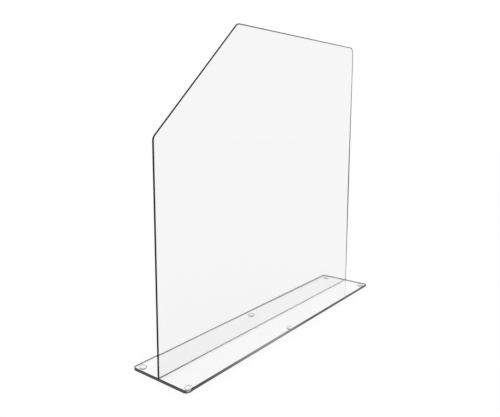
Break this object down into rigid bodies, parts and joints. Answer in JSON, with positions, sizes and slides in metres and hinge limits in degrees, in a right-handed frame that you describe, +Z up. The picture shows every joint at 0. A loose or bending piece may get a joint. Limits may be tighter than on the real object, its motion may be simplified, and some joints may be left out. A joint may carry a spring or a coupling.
{
  "type": "acrylic sneeze guard",
  "caption": "Free-standing clear acrylic counter guard: an upright sheet with one clipped upper corner, cemented on edge along a flat base sheet that stands on clear bumper feet.",
  "frame": {"origin": "on the table under the middle of the base sheet", "axes": "+X along the guard from the clipped end to the square end, -Y to the front, +Z up"},
  "size_m": [0.61, 0.1186, 0.5541],
  "materials": {
    "panel_acrylic": "polished clear",
    "base_acrylic": "polished clear",
    "cement": "clear",
    "bumper": "clear satin",
    "adhesive": "clear"
  },
  "bodies": {
    "root": {"upright_panel": "panel_acrylic", "base_plate": "base_acrylic", "cement_seam": "cement", "foot_clipped_end_front": "bumper", "adhesive_clipped_end_front": "adhesive", "foot_clipped_end_back": "bumper", "adhesive_clipped_end_back": "adhesive", "foot_middle_front": "bumper", "adhesive_middle_front": "adhesive", "foot_middle_back": "bumper", "adhesive_middle_back": "adhesive", "foot_square_end_front": "bumper", "adhesive_square_end_front": "adhesive", "foot_square_end_back": "bumper", "adhesive_square_end_back": "adhesive"}
  },
  "joints": []
}
